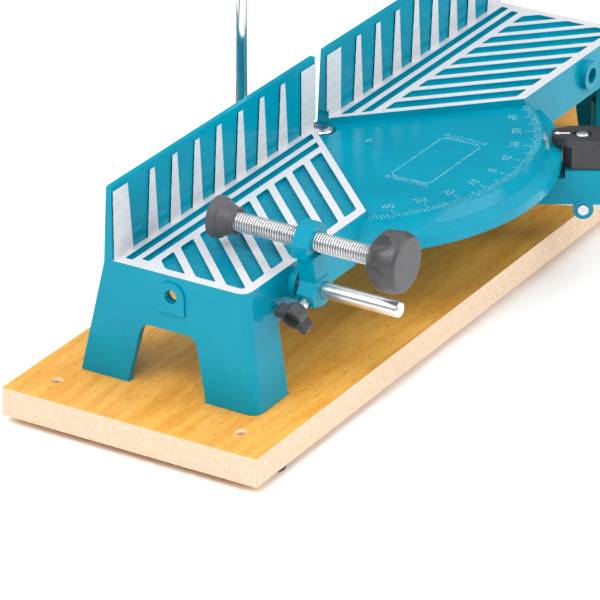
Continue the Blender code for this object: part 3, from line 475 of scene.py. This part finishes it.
def softened(node, body, material, width, segments=2, degrees=32.0, slot=None):
    """A merged copy of a solid with its flat faces joined again and its edges rounded off."""
    mesh = frame["nodes"][node].data.copy()
    bm = bmesh.new()
    bm.from_mesh(mesh)
    bmesh.ops.remove_doubles(bm, verts=bm.verts, dist=2e-6)
    bmesh.ops.dissolve_limit(bm, angle_limit=math.radians(0.6), verts=bm.verts, edges=bm.edges)
    bm.to_mesh(mesh)
    bm.free()
    piece = bpy.data.objects.new(f"{node}_piece", mesh)
    bevel = piece.modifiers.new("rounded_edges", "BEVEL")
    bevel.width, bevel.segments = width, segments
    bevel.limit_method, bevel.angle_limit = "ANGLE", math.radians(degrees)
    bevel.use_clamp_overlap = True
    smooth(mesh, degrees)
    flat = piece.modifiers.new("flat_faces", "WEIGHTED_NORMAL")
    flat.mode, flat.weight, flat.keep_sharp = "FACE_AREA", 100, True
    return dress(piece, body, material, node, slot=slot)


print("surface helpers ready")

# %% [markdown]
# ## The castings
# The base, the swing arm, the clamp bracket and four other pieces keep their solids'
# shapes. A real casting has no sharp edge: the mould's corners are rounded by about half a
# millimetre and the paint rounds them a little more, so a copy of each solid gets a small
# bevel. Moulded, sawn and stamped pieces have softened edges too. Weighted normals keep the
# large faces looking flat beside the narrow rounded ones.

# %% Castings and other softened solids
casting = softened("base_casting", "base", MILLED, 0.00045, slot="machine_paint")
arm = softened("swing_arm", "arm", ENAMEL, 0.0006, slot="machine_paint")
bracket = softened("clamp_bracket", "bracket", ENAMEL, 0.0005, slot="machine_paint")
board = softened("board", "base", BOARD, 0.0004, segments=1, slot="board_wood")
cover = softened("pointer_cover", "arm", COVER, 0.0007, segments=3, slot="black_plastic")
lever = softened("release_lever", "release", ROLLED, 0.0004, slot="lever_steel")
wings = softened("wing_screw_head", "wing_screw", NYLON, 0.0008, segments=3, slot="black_plastic")
copies = (casting, arm, bracket, board, cover, lever, wings)
print("rounded copies:", ", ".join(piece.name for piece in copies))

# %% [markdown]
# ## The clamp's screw
# The spindle is a metric M12 screw: a right-hand thread with a pitch of 1.75 mm and a depth
# of about 1 mm. Along the axis its radius falls and rises like a wave with flat tops, and
# the wave is carried round so that one turn moves it on by one pitch.

# %% Threaded spindle
low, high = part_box("spindle")
SPINDLE = np.array(((low.x + high.x) / 2, low.y, (low.z + high.z) / 2))
LENGTH, CREST = high.y - low.y, (high.x - low.x) / 2
PITCH, DEPTH = 0.00175, 0.00098


def thread(r, s, a):
    """R = the smaller of r and crest - depth x (a trapezoid wave of s / pitch - a / 2 pi)."""
    phase = np.mod(s / PITCH - a / (2 * np.pi), 1.0)
    wave = np.clip(np.abs(2 * phase - 1) * 1.75 - 0.45, 0, 1)
    root = CREST - DEPTH * wave
    return np.minimum(r, root)


print("thread turns:", round(LENGTH / PITCH, 1), "over", round(LENGTH * 1000, 1), "mm")


# %% [markdown]
# The thread's roots are painted grey as shade, and the crests keep the zinc's bright colour.
# The finish tells them apart by their distance from the screw's axis.

# %% Thread finish and screw
def screw_zinc(name):
    """Zinc plate, with painted shade making a thread's root grey; its crest stays bright."""
    made, tree, shader = blank(name, Metallic=0.85, Roughness=0.36)
    place = add(tree, "ShaderNodeTexCoord").outputs["Object"]
    across = add(tree, "ShaderNodeVectorMath", {0: place, 1: (-SPINDLE[0], 0.0, -SPINDLE[2])},
                 operation="ADD")
    flat = add(tree, "ShaderNodeVectorMath", {0: across.outputs[0], 1: (1.0, 0.0, 1.0)},
               operation="MULTIPLY")
    reach = add(tree, "ShaderNodeVectorMath", {0: flat.outputs[0]}, operation="LENGTH")
    crest = add(tree, "ShaderNodeMapRange", {"Value": reach.outputs["Value"],
                                             "From Min": CREST - DEPTH,
                                             "From Max": CREST - 0.0001}).outputs["Result"]
    cloud = noise(tree, scaled(tree), 0.006, 2.0)
    bright = ramp(tree, cloud, (0.3, "#DEDFE1"), (0.7, "#EEEEEF"))
    # painted shade: the roots darken to grey, and the crests keep the bright zinc
    tree.links.new(blend_colours(tree, crest, "#77797D", bright), shader.inputs["Base Color"])
    return made


steps = np.linspace(0, LENGTH, int(LENGTH / PITCH * 9))
ends = np.minimum(steps, LENGTH - steps)
outline = np.stack([CREST - np.clip(0.0012 - ends, 0, 1) * 1.1, steps], 1)
spindle = turned("threaded_spindle", SPINDLE, (0, 1, 0), outline, 64, thread, degrees=70)
dress(spindle, "screw", screw_zinc("threaded_zinc_plate"), "spindle", slot="spindle_zinc")
print("thread vertices:", len(spindle.data.vertices))

# %% [markdown]
# ## The clamp's knob
# A moulded hand knob with six finger scoops. Its radius is the envelope of a disc with
# rounded edges, less what a leaning round cutter takes away, six times round. The cut is
# deepest at the back and runs out before the front, so the front disc stays round and each
# scoop has crisp edges.

# %% Knob
low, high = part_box("knob")
KNOB = np.array((SPINDLE[0], high.y, SPINDLE[2]))
DEEP, REACH = high.y - low.y, (high.x - low.x) / 2
SCOOP, SCOOP_TURN = 0.0096, math.radians(40)
SCOOP_FAR, SCOOP_LEAN = 0.0226, 0.34


def scoops(r, s, a):
    """R = D cos a - sqrt(rho^2 - D^2 sin^2 a) where a cutter of radius rho reaches the rim.

    The cutter leans: its axis is D = 22.6 mm from the knob's at the back, and further out by
    0.34 mm for every millimetre towards the front. The angle a repeats six times a turn.
    """
    near = np.mod(a + np.pi / 6 + SCOOP_TURN, np.pi / 3) - np.pi / 6
    far = SCOOP_FAR + SCOOP_LEAN * s
    inside = SCOOP ** 2 - (far * np.sin(near)) ** 2
    cut = far * np.cos(near) - np.sqrt(np.maximum(inside, 0.0))
    return np.where(inside > 0, np.minimum(r, cut), r)


corners = [(0.0075, 0.0), (0.0118, 0.0), (0.0182, 0.0058), (REACH, 0.0092), (REACH, 0.0140),
           (0.0172, DEEP), (0.0, DEEP)]
outline = rounded(corners, 0.0022, 5)
fine = [outline[0]]
for before, after in zip(outline, outline[1:]):
    pieces = max(1, int(math.dist(before, after) / 0.0008))
    fine += [tuple(np.array(before) + (np.array(after) - np.array(before)) * k / pieces)
             for k in range(1, pieces + 1)]
knob = turned("clamp_knob", KNOB, (0, -1, 0), fine, 240, scoops, degrees=28)
dress(knob, "screw", NYLON, "knob", slot="black_plastic")
print("knob", round(REACH * 2000, 1), "mm across")

# %% [markdown]
# ## The clamp's pad
# A rubber boot on the spindle's end: a thick flange that meets the wood, a groove behind it,
# then a cone down to a collar that grips the screw.

# %% Pad
low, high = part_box("clamp_pad")
PAD = np.array((SPINDLE[0], high.y, SPINDLE[2]))
outline = rounded([(0.0, 0.0), (0.0112, 0.0), (0.0132, 0.0006), (0.0132, 0.0034),
                   (0.0126, 0.0042), (0.0126, 0.0056), (0.0112, 0.0064), (0.0090, 0.0126),
                   (0.0085, 0.0138), (0.0086, 0.0162), (0.0067, 0.0162), (0.0064, 0.0120),
                   (0.0064, 0.0064), (0.0, 0.0064)], 0.0005, 4)
pad = turned("clamp_pad_boot", PAD, (0, -1, 0), outline, 72, degrees=50)
dress(pad, "pad", RUBBER, "clamp_pad", slot="pad_rubber")
print("pad face at Y", round(high.y, 4))

# %% [markdown]
# ## Clamp rod and guide posts
# Three plain bars. A turned profile with a small chamfer at each end is all they need.


# %% Bars
CHAMFER = 0.0009


def bar(name, node, body, material, along, slot):
    """A chamfered bar that fills a round node's box, along one axis."""
    low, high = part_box(node)
    axis = max(range(3), key=lambda i: abs(along[i]))
    start = (low + high) / 2
    start[axis] = low[axis] if along[axis] > 0 else high[axis]
    length = high[axis] - low[axis]
    radius = (high[(axis + 1) % 3] - low[(axis + 1) % 3]) / 2
    outline = rounded([(0.0, 0.0), (radius - CHAMFER, 0.0), (radius, CHAMFER),
                       (radius, length - CHAMFER), (radius - CHAMFER, length),
                       (0.0, length)], 0.0003, 2)
    piece = turned(name, start, along, outline, 64, degrees=30)
    return dress(piece, body, material, node, slot=slot)


rod = bar("clamp_bar", "clamp_rod", "base", ZINC, (0, 1, 0), "guide_steel")
front_post = bar("front_guide_post", "front_post", "arm", CHROME, (0, 0, 1), "guide_steel")
rear_post = bar("rear_guide_post", "rear_post", "arm", CHROME, (0, 0, 1), "guide_steel")
print("bars:", rod.name, front_post.name, rear_post.name)

# %% [markdown]
# ## The protractor's scale
# The scale is cast with the plate and painted over, and its pale paint is painted highlight.
# Each tick is a ridge that stands 0.25 mm above the plate, and each number a raised figure.
# The ridges are laid out with numpy: one box per tick, turned to its angle round the pivot.
# They start a little inside the plate, so that no gap shows under them.


# %% Ridges on the plate
SUNK = PLATE - 0.0001             # where a ridge starts, just inside the plate
SLOPE = 0.00018                   # how far a ridge's sides lean in


def ridges(name, places, height, low):
    """Boxes from (angle, inner radius, outer radius, half width): closed, with sloping sides."""
    places = np.array(places, float)
    angle, inner, outer, half = places.T
    out = np.stack([np.sin(angle), -np.cos(angle)], 1)
    side = np.stack([np.cos(angle), np.sin(angle)], 1)
    points = []
    for level, shrink in ((low, 0.0), (low + height, SLOPE)):
        for reach, edge in ((inner + shrink, -1), (outer - shrink, -1), (outer - shrink, 1),
                            (inner + shrink, 1)):
            flat = out * reach[:, None] + side * (edge * (half - shrink * 0.6))[:, None]
            points.append(np.column_stack([flat[:, 0], PIVOT.y + flat[:, 1],
                                           np.full(len(flat), level)]))
    verts = np.stack(points, 1).reshape(-1, 3)
    corner = np.array([(3, 2, 1, 0), (4, 5, 6, 7), (0, 1, 5, 4), (1, 2, 6, 5), (2, 3, 7, 6),
                       (3, 0, 4, 7)])
    faces = (np.arange(len(places))[:, None, None] * 8 + corner).reshape(-1, 4)
    mesh = bpy.data.meshes.new(name)
    mesh.from_pydata(verts.tolist(), [], faces.tolist())
    turn_out(mesh)
    return bpy.data.objects.new(name, mesh)


TENS, FIVES, ONES, RIM = 0.1295, 0.1325, 0.1350, 0.1400
ticks = []
for degree in range(-48, 49):
    inner = TENS if degree % 10 == 0 else FIVES if degree % 5 == 0 else ONES
    ticks.append((math.radians(degree), inner, RIM, 0.00042))
ticks.append((0.0, 0.0230, 0.0290, 0.00045))             # the mark by the pivot
for degree in (-50.5, 50.5):                             # the ends of the scale
    ticks.append((math.radians(degree), 0.1240, RIM + 0.0005, 0.0007))
scale = ridges("scale_ticks", ticks, 0.00035, SUNK)
dress(scale, "base", HIGHLIGHT_ENAMEL, slot="machine_paint")
print("ticks:", len(ticks))


# %% [markdown]
# The blank panel between the pivot and the numbers stays empty. It is a low ridge swept
# round a rectangle with cut corners, with a narrow loop of the same kind at each end.

# %% Blank panel
def loop_ridge(name, corners, half, height, low):
    """A ridge that follows a closed line: at each corner, four points across its section."""
    path = np.array(corners, float)
    before, after = path - np.roll(path, 1, 0), np.roll(path, -1, 0) - path
    before /= np.linalg.norm(before, axis=1)[:, None]
    after /= np.linalg.norm(after, axis=1)[:, None]
    left = np.stack([-(before + after)[:, 1], (before + after)[:, 0]], 1)
    left /= np.linalg.norm(left, axis=1)[:, None]
    mitre = 1.0 / np.maximum(0.3, (left * np.stack([-after[:, 1], after[:, 0]], 1)).sum(1))
    rows = [(half, low), (half * 0.55, low + height), (-half * 0.55, low + height), (-half, low)]
    sections = [np.column_stack([path + left * (mitre * across)[:, None],
                                 np.full(len(path), level)]) for across, level in rows]
    points = np.stack(sections, 1)
    n = len(path)
    verts = points.reshape(-1, 3)
    i, k = np.meshgrid(np.arange(n), np.arange(4), indexing="ij")
    faces = np.stack([i * 4 + k, i * 4 + (k + 1) % 4, (i + 1) % n * 4 + (k + 1) % 4,
                      (i + 1) % n * 4 + k], -1).reshape(-1, 4)
    mesh = bpy.data.meshes.new(name)
    mesh.from_pydata(verts.tolist(), [], faces.tolist())
    turn_out(mesh)
    return bpy.data.objects.new(name, mesh)


def rectangle(x0, x1, y0, y1, cut):
    """Eight corners of a rectangle whose corners are cut off."""
    return [(x0 + cut, y0), (x1 - cut, y0), (x1, y0 + cut), (x1, y1 - cut), (x1 - cut, y1),
            (x0 + cut, y1), (x0, y1 - cut), (x0, y0 + cut)]


RAISED = 0.0004                   # height of the panel's ridges
edge = rectangle(-0.038, 0.030, PIVOT.y - 0.100, PIVOT.y - 0.072, 0.003)
panel = loop_ridge("blank_panel_frame", edge, 0.0006, RAISED, SUNK)
dress(panel, "base", HIGHLIGHT_ENAMEL, slot="machine_paint")
for side, x in (("left", -0.0420), ("right", 0.0330)):
    edge = rectangle(x, x + 0.0022, PIVOT.y - 0.101, PIVOT.y - 0.071, 0.0005)
    line = loop_ridge(f"panel_line_{side}", edge, 0.00035, RAISED, SUNK)
    dress(line, "base", HIGHLIGHT_ENAMEL, slot="machine_paint")
print("panel frame points:", len(panel.data.vertices))


# %% [markdown]
# ## Raised numbers
# The numbers stand every ten degrees, their heads towards the pivot. Text gives the outline,
# a little thickness and a small bevel make it a casting's figure, and the mesh is then
# carried to its place on the plate.

# %% Numbers
def number(name, text, size, angle, reach):
    """A raised figure centred at an angle and a distance from the pivot."""
    font = bpy.data.curves.new(name, "FONT")
    font.body, font.size = text, size
    font.align_x, font.align_y = "CENTER", "CENTER"
    font.extrude, font.bevel_depth, font.bevel_resolution = 0.00022, 0.00012, 1
    font.resolution_u = 4
    shape = bpy.data.objects.new(name, font)
    bpy.context.scene.collection.objects.link(shape)
    ready = shape.evaluated_get(bpy.context.evaluated_depsgraph_get())
    mesh = bpy.data.meshes.new_from_object(ready)
    bpy.data.objects.remove(shape, do_unlink=True)
    turn = Matrix.Rotation(angle, 4, "Z")
    where = Matrix.Translation((0, PIVOT.y, PLATE)) @ turn @ Matrix.Translation((0, -reach, 0))
    mesh.transform(where)
    turn_out(mesh, merge=1e-6)
    piece = bpy.data.objects.new(name, mesh)
    return dress(piece, "base", HIGHLIGHT_ENAMEL, slot="machine_paint")


FIGURE, FIGURE_REACH = 0.0085, 0.1245
for degree in range(-40, 41, 10):
    side = "left" if degree < 0 else "right"
    number(f"figure_{side}_{abs(degree)}", str(abs(degree)), FIGURE, math.radians(degree),
           FIGURE_REACH)
number("figure_centre", "90", 0.0050, 0.0, 0.0345)
print("numbers from -40 to 40 degrees")

# %% [markdown]
# ## The pointer's arrow
# A thin white arrow on the black cover, pointing in at the scale. Its outline is seven
# points, lifted a hair above the cover.

# %% Arrow
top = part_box("pointer_cover")[1].z
outline = np.array([(0.0, -0.1480), (0.0024, -0.1512), (0.0007, -0.1508), (0.0007, -0.1582),
                    (-0.0007, -0.1582), (-0.0007, -0.1508), (-0.0024, -0.1512)])
count = len(outline)
lower = np.column_stack([outline, np.full(count, top - 0.00005)])
upper = np.column_stack([outline, np.full(count, top + 0.00012)])
ring = np.arange(count)
after = (ring + 1) % count
walls = np.stack([ring, after, after + count, ring + count], 1)
mesh = bpy.data.meshes.new("pointer_arrow")
mesh.from_pydata(np.concatenate([lower, upper]).tolist(), [],
                 [tuple(ring[::-1].tolist()), tuple((ring + count).tolist())] + walls.tolist())
mesh.transform(ARM_TURN)
turn_out(mesh)
arrow = dress(bpy.data.objects.new("pointer_arrow", mesh), "arm", WHITE, slot="black_plastic")
print("arrow faces:", len(arrow.data.polygons))

# %% [markdown]
# ## The small solids that stay
# The other solids have the right shape already, and only need their finish.

# %% Finishes for the solids that stay
KEPT = {ZINC: ["wing_screw_stem"], BRONZE: ["pivot_bush"],
        PLATED: ["pivot_bolt", "pivot_washer", "pivot_nut", "pointer_screw", "lever_pin"],
        BLACKED: ["lever_spring", "front_post_screw", "rear_post_screw"],
        FOOT: [f"rubber_foot_{n}" for n in (1, 2, 3, 4)]}
KEPT[PLATED] += [f"{kind}_screw_{n}" for kind in ("foot", "base") for n in (1, 2, 3, 4)]
for material, names in KEPT.items():
    for name in names:
        node = frame["nodes"][name]
        node.data.materials.clear()
        node.data.materials.append(material)
print("kept solids:", sum(len(names) for names in KEPT.values()))

# %% [markdown]
# ## Stage and light
# A pale floor runs far back. One large soft light stands high on the left and another in
# front on the right, and two small ones draw crisp glints along the edges.

# %% Floor and lights
mesh = bpy.data.meshes.new("floor")
FAR, GROUND = 6, -0.0002
mesh.from_pydata([(-FAR, -FAR, GROUND), (FAR, -FAR, GROUND), (FAR, FAR, GROUND),
                  (-FAR, FAR, GROUND)], [], [(0, 1, 2, 3)])
floor = bpy.data.objects.new("floor", mesh)
bpy.context.scene.collection.objects.link(floor)
pale, tree, shader = blank("pale_paper", Roughness=0.9)
tone = noise(tree, scaled(tree), 0.5, 2.0)
tree.links.new(ramp(tree, tone, (0.3, "#F4F4F4"), (0.7, "#F8F8F8")), shader.inputs["Base Color"])
mesh.materials.append(pale)


def softbox(name, place, size, power, target):
    """A square area light, turned towards a point."""
    light = bpy.data.lights.new(name, "AREA")
    light.shape, light.size, light.energy = "SQUARE", size, power
    lamp = bpy.data.objects.new(name, light)
    lamp.location = place
    lamp.rotation_euler = (Vector(target) - Vector(place)).to_track_quat("-Z", "Y").to_euler()
    bpy.context.scene.collection.objects.link(lamp)
    return lamp


GLINT_SIZE, GLINT_POWER = 0.12, 2.2
softbox("key", (-1.1, 0.1, 1.3), 0.9, 16, (-0.1, 0, 0.05))
softbox("fill", (0.6, -1.5, 0.9), 1.2, 18, (0.12, 0, 0.02))
softbox("glint_left", (-1.0, -0.5, 1.4), GLINT_SIZE, GLINT_POWER, (-0.1, 0, 0.08))
softbox("glint_back", (0.35, 1.2, 1.3), GLINT_SIZE, GLINT_POWER, (0, 0, 0.08))

# %% [markdown]
# The sky lights everything evenly in white, but glossy faces see it dim below about 27
# degrees and bright above about 41, as if black boards stood round the table. A mirrored
# white sky would lay a haze over the paint, and this keeps its colour deep.

# %% Sky
BAND_LOW, BAND_HIGH = 0.46, 0.66  # sines of the elevations where reflections brighten
DIM, BRIGHT = 0.10, 1.2
world = bpy.data.worlds.new("studio")
bpy.context.scene.world = world
world.use_nodes = True
tree, sky = world.node_tree, world.node_tree.nodes["Background"]
sky.inputs["Color"].default_value = linear("#FFFFFF")
direction = add(tree, "ShaderNodeTexCoord").outputs["Generated"]
rise = add(tree, "ShaderNodeSeparateXYZ", {0: direction}).outputs[2]
dome = add(tree, "ShaderNodeMapRange", {"Value": rise, "From Min": BAND_LOW,
                                        "From Max": BAND_HIGH, "To Min": DIM, "To Max": BRIGHT})
mirrored = add(tree, "ShaderNodeLightPath").outputs["Is Glossy Ray"]
level = add(tree, "ShaderNodeMix", {"Factor": mirrored, 2: 1.0, 3: dome.outputs["Result"]})
tree.links.new(level.outputs[0], sky.inputs["Strength"])
bpy.context.scene.view_settings.view_transform = "Standard"
print("sky:", DIM, "to", BRIGHT, "in reflections")
